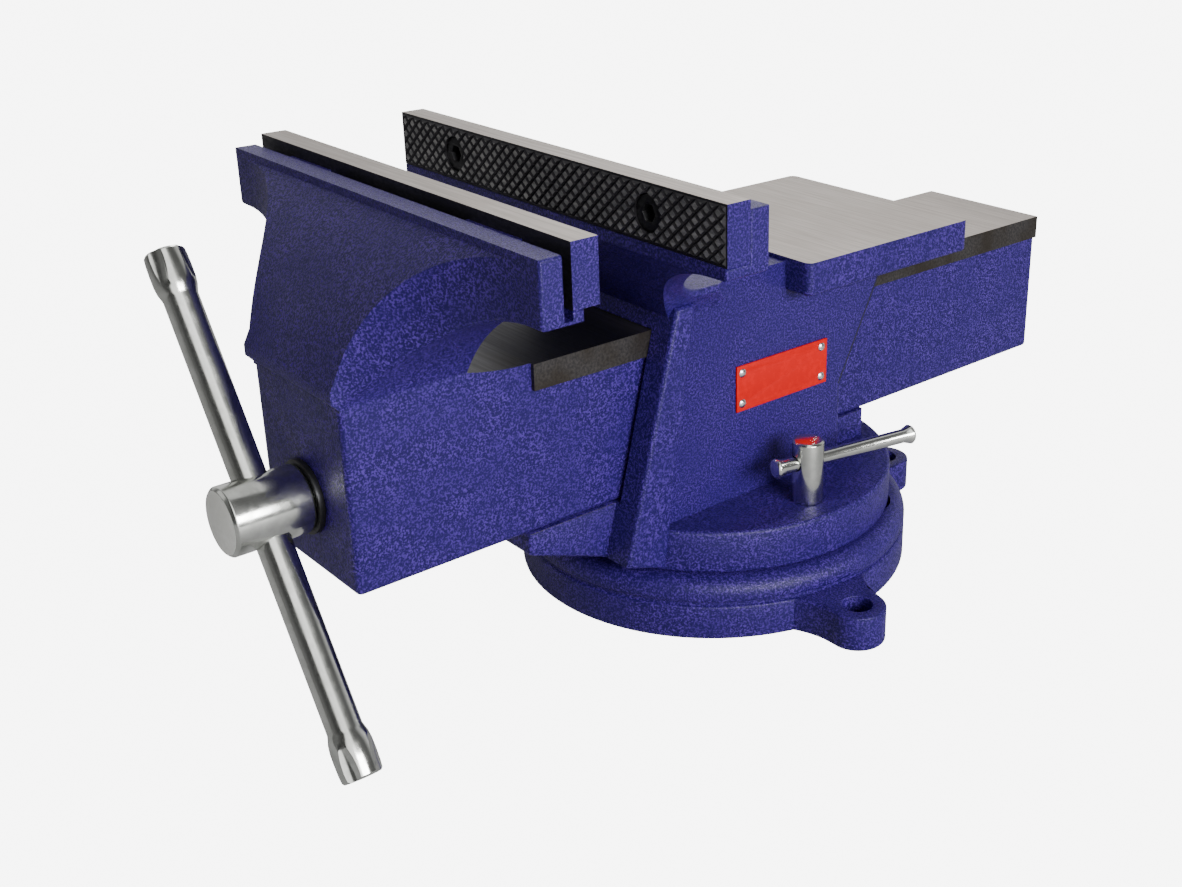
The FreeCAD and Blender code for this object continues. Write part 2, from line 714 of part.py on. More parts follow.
def lugs():
    """Rounded ears whose sides run in a sweep from the flange to the round tip."""
    root = base_radius - lug_root_inset
    root_half = lug_neck_width / 2
    waist = base_radius + lug_waist_offset
    waist_half = lug_radius + lug_waist_extra
    ears = []
    for k in range(lug_count):
        outline = [
            line(V(root, -root_half, 0), V(root, root_half, 0)),
            arc(V(root, root_half, 0), V(waist, waist_half, 0), V(lug_hole_distance, lug_radius, 0)),
            arc(V(lug_hole_distance, lug_radius, 0), V(lug_hole_distance + lug_radius, 0, 0),
                V(lug_hole_distance, -lug_radius, 0)),
            arc(V(lug_hole_distance, -lug_radius, 0), V(waist, -waist_half, 0), V(root, -root_half, 0)),
        ]
        ear = closed_face(outline).extrude(V(0, 0, flange_height))
        ear.rotate(V(0, 0, 0), V(0, 0, 1), lug_turn_deg + k * lug_step_deg)
        ears.append(ear)
    return ears[0].multiFuse(ears[1:])


def lock_direction(side):
    turn = math.radians(lock_bar_turn_deg)
    return V(side * math.cos(turn), math.sin(turn), 0)


def lock_bolt(side):
    top_z = disc_top_z + lock_post_height
    post = rod(lock_post_radius, V(side * lock_x, lock_y, disc_top_z + lock_post_gap), V(0, 0, 1),
               lock_post_height - lock_post_gap)
    rims = [e for e in post.Edges if e.BoundBox.ZLength < 0.01 and e.BoundBox.ZMin > top_z - 1]
    post = post.makeChamfer(lock_post_chamfer, rims)
    shank_z = groove_floor + groove_clearance
    shank = rod(lock_shank_radius, V(side * lock_x, lock_y, shank_z), V(0, 0, 1),
                disc_top_z + 2 * overlap - shank_z)
    along = lock_direction(side)
    hole = rod(lock_bar_radius + lock_bar_hole_clearance,
               V(side * lock_x, lock_y, lock_bar_z) - along * 2 * lock_post_radius, along,
               4 * lock_post_radius)
    return join([post, shank]).cut(hole)


def lock_bar(side):
    bar = swaged_bar(lock_bar_radius, lock_bar_end_radius, lock_bar_end_length, lock_bar_length)
    bar.rotate(V(0, 0, 0), V(0, 1, 0), 90)
    turn = lock_bar_turn_deg if side > 0 else 180 - lock_bar_turn_deg
    bar.rotate(V(0, 0, 0), V(0, 0, 1), turn)
    bar.translate(V(side * lock_x, lock_y, lock_bar_z) - lock_direction(side) * lock_bar_near_reach)
    return bar


def clamp_nut(side):
    """A square nut in the round groove, its sides along and across the radius."""
    nut = box(-clamp_nut_width / 2, clamp_nut_width / 2, -clamp_nut_length / 2, clamp_nut_length / 2,
              clamp_nut_top_z - clamp_nut_height, clamp_nut_top_z)
    nut = nut.cut(rod(lock_shank_radius + running_clearance, V(0, 0, 0), V(0, 0, 1), deep))
    nut.rotate(V(0, 0, 0), V(0, 0, 1), math.degrees(math.atan2(lock_y, side * lock_x)))
    nut.translate(V(side * lock_x, lock_y, 0))
    return nut


# ---- nameplate
def rivet_places():
    places = []
    for up in (-1, 1):
        for along in (-1, 1):
            places.append((nameplate_y + along * (nameplate_length / 2 - rivet_inset),
                           nameplate_z + up * (nameplate_height / 2 - rivet_inset)))
    return places


def nameplate():
    plate = box(cheek_outer, cheek_outer + nameplate_thickness,
                nameplate_y - nameplate_length / 2, nameplate_y + nameplate_length / 2,
                nameplate_z - nameplate_height / 2, nameplate_z + nameplate_height / 2)
    for y, z in rivet_places():
        plate = plate.cut(rod(rivet_radius, V(cheek_outer - overlap, y, z), V(1, 0, 0), 3 * overlap))
    return plate


def nameplate_rivets():
    rivets = []
    for y, z in rivet_places():
        face_x = cheek_outer + nameplate_thickness
        stem = rod(rivet_radius, V(cheek_outer - rivet_depth, y, z), V(1, 0, 0),
                   rivet_depth + nameplate_thickness)
        radius = (rivet_head_radius ** 2 + rivet_head_height ** 2) / (2 * rivet_head_height)
        ball = Part.makeSphere(radius, V(face_x + rivet_head_height - radius, y, z))
        dome = ball.common(rod(rivet_head_radius, V(face_x, y, z), V(1, 0, 0), 2 * rivet_head_height))
        rivets.append(stem.fuse(dome))
    return Part.makeCompound(rivets)


nodes = {
    "swivel_base": swivel_base(),
    "fixed_body": fixed_body(),
    "moving_jaw": moving_jaw(),
    "fixed_jaw_plate": jaw_plate(fixed_grip_y, fixed_seat_y),
    "moving_jaw_plate": jaw_plate(moving_grip_y, moving_seat_y),
    "fixed_jaw_screws": plate_screws(fixed_grip_y, 1),
    "moving_jaw_screws": plate_screws(moving_grip_y, -1),
    "spindle": spindle(),
    "thrust_washer": thrust_washer(),
    "spindle_collar": spindle_collar(),
    "collar_pin": collar_pin(),
    "spindle_nut": spindle_nut(),
    "nut_bolts": nut_bolts(),
    "nut_washers": nut_washers(),
    "handle_bar": handle_bar(),
    "lock_bolt_right": lock_bolt(1),
    "lock_bolt_left": lock_bolt(-1),
    "lock_bar_right": lock_bar(1),
    "lock_bar_left": lock_bar(-1),
    "clamp_nut_right": clamp_nut(1),
    "clamp_nut_left": clamp_nut(-1),
    "nameplate": nameplate(),
    "nameplate_rivets": nameplate_rivets(),
}

for name, shape in nodes.items():
    shape.exportStep("parts/" + name + ".step")
    box_now = shape.BoundBox
    print(name, len(shape.Solids), shape.isValid(), round(shape.Volume / 1000, 2), "cm3",
          [round(v, 1) for v in (box_now.XMin, box_now.XMax, box_now.YMin, box_now.YMax,
                                 box_now.ZMin, box_now.ZMax)])
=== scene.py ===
# %% [markdown]
# A bench vise on a swivel base: iron castings in violet-blue hammer paint, ground steel where
# the castings slide or take blows, knurled jaw plates, and zinc plated screw and handle.
# The CAD model gives every size and place. This script adds what a drawing leaves out:
# soft cast edges, the teeth of the jaw plates, the thread and the finishes.

# %% Load the CAD model as a fixed frame
import json
import math
import bmesh
import bpy
from mathutils import Matrix, Vector

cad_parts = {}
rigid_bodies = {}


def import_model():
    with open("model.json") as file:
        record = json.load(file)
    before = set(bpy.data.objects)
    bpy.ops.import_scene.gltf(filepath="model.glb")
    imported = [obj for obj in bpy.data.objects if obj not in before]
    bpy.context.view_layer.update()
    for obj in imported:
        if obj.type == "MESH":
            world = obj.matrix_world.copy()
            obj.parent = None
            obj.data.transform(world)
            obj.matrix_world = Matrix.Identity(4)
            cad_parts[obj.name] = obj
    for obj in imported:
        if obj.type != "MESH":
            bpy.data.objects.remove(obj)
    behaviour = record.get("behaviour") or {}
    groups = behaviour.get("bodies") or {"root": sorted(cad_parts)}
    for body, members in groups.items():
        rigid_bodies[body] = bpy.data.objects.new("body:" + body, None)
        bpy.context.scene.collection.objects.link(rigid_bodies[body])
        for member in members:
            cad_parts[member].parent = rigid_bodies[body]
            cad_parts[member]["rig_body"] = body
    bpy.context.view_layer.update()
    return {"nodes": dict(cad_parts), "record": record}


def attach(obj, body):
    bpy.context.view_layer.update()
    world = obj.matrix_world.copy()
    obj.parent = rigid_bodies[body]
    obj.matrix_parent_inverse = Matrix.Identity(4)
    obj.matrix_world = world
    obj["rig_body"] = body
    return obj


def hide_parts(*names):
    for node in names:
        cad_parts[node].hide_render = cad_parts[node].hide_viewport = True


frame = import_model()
MM = 0.001

# %% [markdown]
# Operators act on whatever is selected, and the loaded nodes start out selected. So every step
# begins by selecting one piece alone, and edit mode is entered and left in one place.

# %% Selecting and editing one piece
def only(piece):
    bpy.ops.object.select_all(action="DESELECT")
    piece.select_set(True)
    bpy.context.view_layer.objects.active = piece

def edit(piece, mode="VERT"):
    only(piece)
    bpy.ops.object.mode_set(mode="EDIT")
    bpy.ops.mesh.select_mode(type=mode)
    bpy.ops.mesh.select_all(action="SELECT")

def done():
    bpy.ops.object.mode_set(mode="OBJECT")

# %% [markdown]
# The sky and every finish are trees of shader nodes. Adding a node and linking it take the same
# few lines each time, so these small helpers do it, and the trees below stay short enough to read.

# %% Small helpers for node trees
def add(tree, kind, **settings):
    node = tree.nodes.new(kind)
    for key, value in settings.items():
        setattr(node, key, value)
    return node

def link(tree, source, target):
    tree.links.new(source, target)

def new_group(name, inputs, outputs):
    group = bpy.data.node_groups.new(name, "ShaderNodeTree")
    group.interface.new_socket("Vector", in_out="INPUT", socket_type="NodeSocketVector")
    for label, value in inputs.items():
        socket = group.interface.new_socket(label, in_out="INPUT", socket_type="NodeSocketFloat")
        socket.default_value = value
    for label in outputs:
        group.interface.new_socket(label, in_out="OUTPUT", socket_type="NodeSocketFloat")
    return group, add(group, "NodeGroupInput"), add(group, "NodeGroupOutput")

def maths(tree, operation, first, second):
    node = add(tree, "ShaderNodeMath", operation=operation)
    for socket, value in zip(node.inputs, (first, second)):
        if isinstance(value, (int, float)):
            socket.default_value = value
        else:
            link(tree, value, socket)
    return node.outputs[0]

def spread(tree, value, low, high):
    node = add(tree, "ShaderNodeMapRange", interpolation_type="SMOOTHSTEP")
    link(tree, value, node.inputs["Value"])
    node.inputs["From Min"].default_value = low
    node.inputs["From Max"].default_value = high
    return node.outputs["Result"]

# %% [markdown]
# The light sets how every finish reads, so it comes first. A small object is best lit in a white
# tent. Bright metal shows only what stands round it, so the tent has dark gaps as well as white
# walls. Cards could stand round the vise for that. Here they are in the sky's colour, by compass
# direction, and only reflections see them. Dull surfaces are lit by an even grey instead.

# %% Floor and sky
bpy.ops.mesh.primitive_plane_add(size=6, location=(0, 0, -0.0004))
floor = bpy.context.active_object
floor.name = "floor"
TENT_GREY, BACKDROP_WHITE = 0.24, 7.0
WALLS = [(0.00, 0.90), (0.03, 0.55), (0.07, 0.09), (0.22, 0.20), (0.28, 0.07), (0.34, 0.07), (0.36, 1.90),
         (0.47, 2.10), (0.50, 0.45), (0.56, 0.14), (0.66, 0.12), (0.72, 0.70), (0.98, 0.85)]
world = bpy.data.worlds.new("tent")
world.use_nodes = True
sky = world.node_tree
direction = add(sky, "ShaderNodeTexCoord")
compass = add(sky, "ShaderNodeTexGradient", gradient_type="RADIAL")
walls = add(sky, "ShaderNodeValToRGB")
while len(walls.color_ramp.elements) < len(WALLS):
    walls.color_ramp.elements.new(0.5)
for stop, (place, grey) in zip(walls.color_ramp.elements, WALLS):
    stop.position = place
    stop.color = (grey, grey, grey, 1)
seen_by = add(sky, "ShaderNodeLightPath")
tent = add(sky, "ShaderNodeMix", data_type="RGBA", clamp_result=False)
tent.inputs["A"].default_value = (TENT_GREY, TENT_GREY, TENT_GREY, 1)
backdrop = add(sky, "ShaderNodeMix", data_type="RGBA")
backdrop.inputs["B"].default_value = (BACKDROP_WHITE, BACKDROP_WHITE, BACKDROP_WHITE, 1)
link(sky, direction.outputs["Generated"], compass.inputs["Vector"])
link(sky, compass.outputs["Fac"], walls.inputs["Fac"])
link(sky, walls.outputs["Color"], tent.inputs["B"])
link(sky, seen_by.outputs["Is Glossy Ray"], tent.inputs["Factor"])
link(sky, tent.outputs["Result"], backdrop.inputs["A"])
link(sky, seen_by.outputs["Is Camera Ray"], backdrop.inputs["Factor"])
link(sky, backdrop.outputs["Result"], sky.nodes["Background"].inputs["Color"])
sky.nodes["Background"].inputs["Strength"].default_value = 1.0
bpy.context.scene.world = world
print("walls and gaps in the tent:", len(WALLS))

# %% [markdown]
# Three soft lamps shape the castings: a wide one low on the right that rakes the flecks of the
# paint, a faint one on the left, and one behind that draws the upper edges. A single lamp would
# leave the far side black, and strong ones on both sides would flatten the shape.

# %% Lamps
def lamp(name, place, target, size, watts):
    bpy.ops.object.light_add(type="AREA", location=place)
    light = bpy.context.active_object
    light.name = name
    light.data.shape = "RECTANGLE"
    light.data.size, light.data.size_y = size
    light.data.energy = watts
    light.rotation_euler = (Vector(target) - Vector(place)).to_track_quat("-Z", "Y").to_euler()

lamp("key", (1.45, -0.12, 0.62), (0, 0, 0.1), (0.9, 0.5), 33)
lamp("fill", (-0.9, -1.1, 0.8), (0, -0.1, 0.1), (0.8, 0.8), 1.5)
lamp("rim", (-0.9, 0.9, 1.3), (0, 0.05, 0.12), (0.8, 0.6), 9)

# %% [markdown]
# The camera stands close, at the handle's side, and looks down a little, so that the jaws, the
# anvil and the base all show. A longer lens from further away would make the beam look shorter.

# %% Camera
CAMERA_PLACE = (0.43585, -0.38699, 0.30877)
AZIMUTH, ELEVATION, ROLL = 48.4, 21.52, -0.2
SENSOR, LENS, SHIFT = 36, 44.69, (-0.1026, -0.0582)
bpy.ops.object.camera_add(location=CAMERA_PLACE)
camera = bpy.context.active_object
turn = Matrix.Rotation(math.radians(AZIMUTH), 4, "Z")
tilt = Matrix.Rotation(math.radians(90 - ELEVATION), 4, "X")
roll = Matrix.Rotation(math.radians(ROLL), 4, "Z")
camera.rotation_euler = (turn @ tilt @ roll).to_euler()
camera.data.sensor_width = SENSOR
camera.data.lens = LENS
camera.data.shift_x, camera.data.shift_y = SHIFT
camera.data.clip_start = 0.01
bpy.context.scene.camera = camera
print("camera turned by", AZIMUTH, "and down by", ELEVATION)

# %% [markdown]
# Finishes are built from two shared effects. Each effect is a node group that puts out masks or a
# height, and each material places it with its own numbers. The first is for hammer paint, which
# dries into fine pale flecks over a darker coat. Small bumps in the mesh would need millions of
# faces, so fine noise makes the flecks and coarse noise makes the broad patches.

# %% Hammer flecks
flecks, given, result = new_group("hammer_flecks", {"Scale": 620.0}, ["Flecks", "Height", "Patches"])
fine = add(flecks, "ShaderNodeTexNoise")
fine.inputs["Detail"].default_value = 3.0
fine.inputs["Roughness"].default_value = 0.62
link(flecks, given.outputs["Vector"], fine.inputs["Vector"])
link(flecks, given.outputs["Scale"], fine.inputs["Scale"])
coarse = add(flecks, "ShaderNodeTexNoise")
coarse.inputs["Detail"].default_value = 2.0
link(flecks, given.outputs["Vector"], coarse.inputs["Vector"])
link(flecks, maths(flecks, "MULTIPLY", given.outputs["Scale"], 0.05), coarse.inputs["Scale"])
link(flecks, spread(flecks, fine.outputs["Fac"], 0.46, 0.66), result.inputs["Flecks"])
link(flecks, fine.outputs["Fac"], result.inputs["Height"])
link(flecks, spread(flecks, coarse.outputs["Fac"], 0.35, 0.65), result.inputs["Patches"])

# %% [markdown]
# Ground steel shows the straight, uneven scratches of the wheel. Noise stretched along one axis
# gives them, and a broad noise gives the stains that oil leaves.

# %% Grinding marks
marks, given, result = new_group(
    "grinding_marks", {"Across": 900.0, "Along": 30.0, "Stain scale": 26.0}, ["Marks", "Stains"])
apart = add(marks, "ShaderNodeSeparateXYZ")
link(marks, given.outputs["Vector"], apart.inputs[0])
stretched = add(marks, "ShaderNodeCombineXYZ")
link(marks, maths(marks, "MULTIPLY", apart.outputs["X"], given.outputs["Along"]), stretched.inputs["X"])
link(marks, maths(marks, "MULTIPLY", apart.outputs["Y"], given.outputs["Across"]), stretched.inputs["Y"])
link(marks, maths(marks, "MULTIPLY", apart.outputs["Z"], given.outputs["Across"]), stretched.inputs["Z"])
scratches = add(marks, "ShaderNodeTexNoise")
scratches.inputs["Scale"].default_value = 1.0
scratches.inputs["Detail"].default_value = 3.0
link(marks, stretched.outputs[0], scratches.inputs["Vector"])
stain = add(marks, "ShaderNodeTexNoise")
stain.inputs["Detail"].default_value = 4.0
link(marks, given.outputs["Vector"], stain.inputs["Vector"])
link(marks, given.outputs["Stain scale"], stain.inputs["Scale"])
link(marks, spread(marks, scratches.outputs["Fac"], 0.3, 0.7), result.inputs["Marks"])
link(marks, spread(marks, stain.outputs["Fac"], 0.35, 0.7), result.inputs["Stains"])
print("effects:", [g.name for g in bpy.data.node_groups])

# %% [markdown]
# One function makes every finish, because they share a pattern: two colours mixed by a mask, a third one for
# stains, a roughness that follows the first mask, and a little relief. A painted shade and painted dark
# reflection can be laid over it along the vise: near-black at the front, fading out towards the rear. The
# shader's own sockets take whatever is the same all over.

# %% The finish maker
def blend(tree, first, second, mask):
    """Mixes two colours by a mask. A colour is three numbers or another node's output."""
    mix = add(tree, "ShaderNodeMix", data_type="RGBA")
    for label, colour in (("A", first), ("B", second)):
        if isinstance(colour, tuple):
            mix.inputs[label].default_value = (*colour, 1)
        else:
            link(tree, colour, mix.inputs[label])
    link(tree, mask, mix.inputs["Factor"])
    return mix.outputs["Result"]

def finish(name, colours, roughness, metallic=0.0, effect="hammer_flecks", masks=("Flecks", "Patches"),
           relief=0.0, relief_mask=None, gloss=0.5, values=None, painted_front_shade=None):
    material = bpy.data.materials.new(name)
    material.use_nodes = True
    tree = material.node_tree
    shader = tree.nodes["Principled BSDF"]
    shader.inputs["Metallic"].default_value = metallic
    shader.inputs["Specular IOR Level"].default_value = gloss
    place = add(tree, "ShaderNodeTexCoord")
    group = add(tree, "ShaderNodeGroup", node_tree=bpy.data.node_groups[effect])
    link(tree, place.outputs["Object"], group.inputs["Vector"])
    for key, value in (values or {}).items():
        group.inputs[key].default_value = value
    dark, light, stain, stain_share = colours
    base = blend(tree, dark, light, group.outputs[masks[0]])
    colour = blend(tree, base, stain, maths(tree, "MULTIPLY", group.outputs[masks[1]], stain_share))
    # Painted shade: the colour turns near-black towards the front of the vise, in place of the shade and dark
    # reflection between the jaws.
    if painted_front_shade:
        painted_front_shade_colour, full_y, gone_y = painted_front_shade
        axes = add(tree, "ShaderNodeSeparateXYZ")
        link(tree, place.outputs["Object"], axes.inputs[0])
        colour = blend(tree, painted_front_shade_colour, colour, spread(tree, axes.outputs["Y"], full_y * MM, gone_y * MM))
    link(tree, colour, shader.inputs["Base Color"])
    rough = add(tree, "ShaderNodeMapRange")
    link(tree, group.outputs[masks[0]], rough.inputs["Value"])
    rough.inputs["To Min"].default_value, rough.inputs["To Max"].default_value = roughness
    link(tree, rough.outputs["Result"], shader.inputs["Roughness"])
    if relief:
        bump = add(tree, "ShaderNodeBump")
        bump.inputs["Strength"].default_value = 1.0
        bump.inputs["Distance"].default_value = relief * MM
        link(tree, group.outputs[relief_mask or masks[0]], bump.inputs["Height"])
        link(tree, bump.outputs["Normal"], shader.inputs["Normal"])
    return material

# %% [markdown]
# The castings wear hammer paint, and the places where a grinder or a cutter passed are bare steel: clean on
# the anvil and oily on the beam. The front of the beam's top gets a painted shade, and the cutter's half moon
# is black, partly with grease and partly with painted shade. Colours are dark, light, stain and the share of
# the stain, and roughness runs from the dark places to the light ones.

# %% Paint
paint = finish("hammer_paint", [(0.008, 0.003, 0.074), (0.090, 0.044, 0.345), (0.014, 0.006, 0.105), 0.35],
               (0.44, 0.24), relief=0.26, relief_mask="Height", values={"Scale": 1300.0}, gloss=0.26)
# Near-black paint for the rearward faces of the cheek's rear edge: a painted shade for the gap beside the
# beam.
rear_edge_painted_shade = finish("rear_edge_painted_shade_finish", [(0.002, 0.001, 0.014), (0.008, 0.006, 0.040), (0.003, 0.002, 0.020), 0.4],
                (0.60, 0.50), values={"Scale": 900.0})
red = finish("red_enamel", [(0.56, 0.000, 0.000), (0.64, 0.001, 0.000), (0.50, 0.000, 0.000), 0.4],
             (0.66, 0.60), values={"Scale": 300.0}, gloss=0.2)

# %% Ground and oily steel, with grease and painted shade
STREAKS = dict(effect="grinding_marks", masks=("Marks", "Stains"))
GROUND = dict(colours=[(0.34, 0.30, 0.27), (0.46, 0.415, 0.38), (0.26, 0.225, 0.20), 0.35],
              roughness=(0.42, 0.34), metallic=0.75, relief=0.02, **STREAKS)
# Painted shade and painted dark reflection for the beam's top, full at the front and gone towards the rear.
PAINTED_FRONT_SHADE = (0.020, 0.019, 0.026), -75, -10
ground = finish("ground_steel", **GROUND)
beam_steel = finish("beam_steel", painted_front_shade=PAINTED_FRONT_SHADE, **GROUND)
oiled = finish("oiled_steel", [(0.030, 0.028, 0.030), (0.070, 0.064, 0.062), (0.028, 0.021, 0.014), 0.8],
               (0.45, 0.34), metallic=0.6, relief=0.02, values={"Stain scale": 60.0}, **STREAKS)
# Near-black steel for the cutter's half moon: grease, together with painted shade between the jaws.
grease_and_painted_shade = finish("grease_and_painted_shade_steel", [(0.010, 0.010, 0.015), (0.030, 0.029, 0.036), (0.020, 0.017, 0.012), 0.7],
                 (0.36, 0.28), metallic=0.5, values={"Stain scale": 60.0}, gloss=0.4, **STREAKS)
teeth = finish("knurled_steel", [(0.026, 0.025, 0.030), (0.055, 0.052, 0.058), (0.016, 0.015, 0.018), 0.6],
               (0.48, 0.36), metallic=0.7, relief=0.02, values={"Across": 700.0, "Along": 300.0}, **STREAKS)
worn_tops = finish("worn_tooth_tops", [(0.14, 0.14, 0.14), (0.36, 0.35, 0.34), (0.08, 0.08, 0.09), 0.5],
                   (0.38, 0.28), metallic=0.4, values={"Stain scale": 120.0}, **STREAKS)

# %% Plated and black steel
zinc = finish("bright_zinc", [(0.62, 0.63, 0.60), (0.76, 0.77, 0.74), (0.48, 0.49, 0.45), 0.45],
              (0.22, 0.14), metallic=1.0, relief=0.008,
              values={"Across": 260.0, "Along": 160.0, "Stain scale": 40.0}, **STREAKS)
faced = finish("faced_zinc", [(0.90, 0.90, 0.86), (0.97, 0.97, 0.93), (0.78, 0.78, 0.72), 0.5],
               (0.50, 0.40), metallic=0.15, relief=0.02,
               values={"Across": 500.0, "Along": 400.0, "Stain scale": 70.0}, **STREAKS)
black = finish("black_steel", [(0.018, 0.018, 0.02), (0.035, 0.035, 0.038), (0.012, 0.012, 0.014), 0.5],
               (0.45, 0.35), metallic=0.7, **STREAKS)
iron = finish("bare_iron", [(0.13, 0.125, 0.12), (0.22, 0.21, 0.20), (0.09, 0.075, 0.06), 0.6],
              (0.55, 0.45), metallic=0.7, relief=0.12, relief_mask="Height")
bright = finish("bright_rivet", [(0.72, 0.71, 0.70), (0.82, 0.81, 0.80), (0.6, 0.58, 0.56), 0.3],
                (0.28, 0.2), metallic=1.0, **STREAKS)
print("finishes:", [m.name for m in bpy.data.materials])

# %% [markdown]
# A tent's paper floor is lit until it looks white. Lamps strong enough for that would bleach the
# paint, so the floor glows, and only the camera sees the glow: the vise gets no light from it.

# %% Pale floor
GLOW, GLOW_SHARE = 9.0, 0.8
pale = finish("pale_floor", [(0.46, 0.46, 0.46), (0.48, 0.48, 0.48), (0.47, 0.47, 0.47), 0.2],
              (0.7, 0.65), values={"Scale": 40.0})
paper = pale.node_tree
glow = add(paper, "ShaderNodeEmission")
glow.inputs["Strength"].default_value = GLOW
lit = add(paper, "ShaderNodeMixShader")
seen_by = add(paper, "ShaderNodeLightPath")
link(paper, maths(paper, "MULTIPLY", seen_by.outputs["Is Camera Ray"], GLOW_SHARE), lit.inputs[0])
link(paper, paper.nodes["Principled BSDF"].outputs[0], lit.inputs[1])
link(paper, glow.outputs[0], lit.inputs[2])
link(paper, lit.outputs[0], paper.nodes["Material Output"].inputs["Surface"])
floor.data.materials.append(pale)
print("the floor glows at", GLOW, "for the camera")

# %% [markdown]
# A casting comes out of the sand with round edges, while the CAD solid is crisp. A copy of the
# CAD mesh is welded and its flat areas made into single faces, and then its sharp edges are
# bevelled. The bevel could be drawn in CAD, but here each edge can have its own width: wide on
# cast edges and a hair on edges that a cutter left. Short edges nearby leave little room, and a
# bevel that runs past them makes spikes, so each edge takes only a share of the room it has.

# %% Copies of CAD pieces with eased edges
LEAST_ROOM, ROOM_SHARE, WIDE_ROOM_SHARE = 0.35, 0.42, 0.8

def welded_copy(node, name):
    source = frame["nodes"][node]
    piece = bpy.data.objects.new(name, source.data.copy())
    bpy.context.scene.collection.objects.link(piece)
    piece.data.materials.clear()
    edit(piece)
    bpy.ops.mesh.remove_doubles(threshold=0.01 * MM)
    bpy.ops.mesh.customdata_custom_splitnormals_clear()
    bpy.ops.mesh.dissolve_limited(angle_limit=math.radians(0.6), delimit={"NORMAL"})
    done()
    return piece

def ease(piece, width, rule=None, segments=3, sharp=28):
    """Bevels the outward edges sharper than the angle. The rule gives each edge's share of the width."""
    shape = bmesh.new()
    shape.from_mesh(piece.data)
    shares = [0.0] * len(shape.edges)
    for edge in shape.edges:
        if len(edge.link_faces) != 2 or not edge.is_convex or edge.calc_face_angle() < math.radians(sharp):
            continue
        near = [other.calc_length() for end in edge.verts for other in end.link_edges]
        room = min(near) / (width * MM)
        if room < LEAST_ROOM:
            continue
        middle = (edge.verts[0].co + edge.verts[1].co) / 2 / MM
        share = rule(middle) if rule else 1.0
        shares[edge.index] = min(share, room * (ROOM_SHARE if share <= 1 else WIDE_ROOM_SHARE))
    shape.free()
    weights = piece.data.attributes.new("bevel_weight_edge", "FLOAT", "EDGE")
    weights.data.foreach_set("value", shares)
    bevel = piece.modifiers.new("eased", "BEVEL")
    bevel.limit_method = "WEIGHT"
    bevel.width = width * MM
    bevel.segments = segments
    bevel.use_clamp_overlap = False
    bevel.harden_normals = False
    only(piece)
    bpy.ops.object.modifier_apply(modifier=bevel.name)
    return sum(share > 0 for share in shares)

# %% Finishing a piece
def settle(piece, body, nodes, angle=32):
    """Smooths the piece, lets it ride a body and hides the CAD nodes that it stands in for."""
    only(piece)
    bpy.ops.object.shade_smooth_by_angle(angle=math.radians(angle))
    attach(piece, body)
    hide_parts(*nodes)
    triangles = sum(len(p.vertices) - 2 for p in piece.data.polygons)
    print(piece.name, "triangles:", triangles)

def coat(piece, materials, rule):
    """Gives every face the material that rule picks from its middle and normal."""
    for material in materials:
        piece.data.materials.append(material)
    for face in piece.data.polygons:
        face.material_index = rule(face.center / MM, face.normal)

# %% [markdown]
# The swivel base is a plain round casting with three ears. Every edge is cast, so one width
# serves, and the ring's bead is already round.

# %% Swivel base
base = welded_copy("swivel_base", "base_casting")
print("base edges eased:", ease(base, 1.1))
coat(base, [paint], lambda middle, normal: 0)
settle(base, "base", ["swivel_base"])

# %% [markdown]
# The fixed body is one casting: disc, cheeks, jaw head and anvil. The CAD model already rounds the head and
# the anvil, so only the disc, the cheeks and the chin are eased here. The cheek's slanting rear edge is
# rounded most, and its rearward faces are painted near-black as a painted shade for the gap beside the beam.

# %% Fixed body
ANVIL_Z, HEAD_LOW, ANVIL_LOW, HEAD_REAR = 139.7, 119, 122, 25
CHEEK_X, GUIDE_X, GUIDE_LOW, GUIDE_TOP = 40.0, 33.4, 55, 123
body = welded_copy("fixed_body", "fixed_casting")

def on_rear_edge(middle):
    """True along the slanting rear edge of a cheek."""
    return 36 < middle.y < 63 and 44 < middle.z < 121 and abs(abs(middle.x) - CHEEK_X) < 2.9

def in_guide(middle):
    """True inside the passage that the beam slides through."""
    return abs(middle.x) < GUIDE_X and GUIDE_LOW < middle.z < GUIDE_TOP

def body_width(middle):
    if on_rear_edge(middle):
        return 2.1
    if middle.z > HEAD_LOW and (middle.y < HEAD_REAR or middle.z > ANVIL_LOW):
        return 0.0
    return 0.25 if in_guide(middle) else 1.0

def body_finish(middle, normal):
    if normal.z > 0.9 and abs(middle.z - ANVIL_Z) < 0.2:
        return 1
    if in_guide(middle) and abs(normal.x) > 0.9:
        return 2
    # The rearward faces of the cheek's rear edge take the near-black painted shade.
    if on_rear_edge(middle) and normal.y > 0.15:
        return 3
    return 0

print("body edges eased:", ease(body, 1.3, body_width))
coat(body, [paint, ground, oiled, rear_edge_painted_shade], body_finish)
settle(body, "body", ["fixed_body"])

# %% [markdown]
# The moving jaw slides on its beam, so the beam's top and the two rails are machined and oiled.
# The cutter ran out in a half moon in front of the rails. The CAD model rounds the jaw's head, so
# only the beam is eased, and the finish goes by the place of each face: paint is the rule, and
# the tests below pick out what the cutter touched.

# %% Moving jaw
BEAM_TOP, RAIL_LOW, RAIL_FRONT, RAIL_X = 122.4, 112.2, -113.5, 30.9
CUT_TOP, MOON_REACH, JAW_LOW = 126.1, 25, 118
jaw = welded_copy("moving_jaw", "jaw_casting")

def jaw_width(middle):
    rail = middle.y > RAIL_FRONT - MOON_REACH - 1 and RAIL_LOW - 0.5 < middle.z < CUT_TOP + 0.1
    return 0.0 if rail or middle.z > JAW_LOW else 1.0

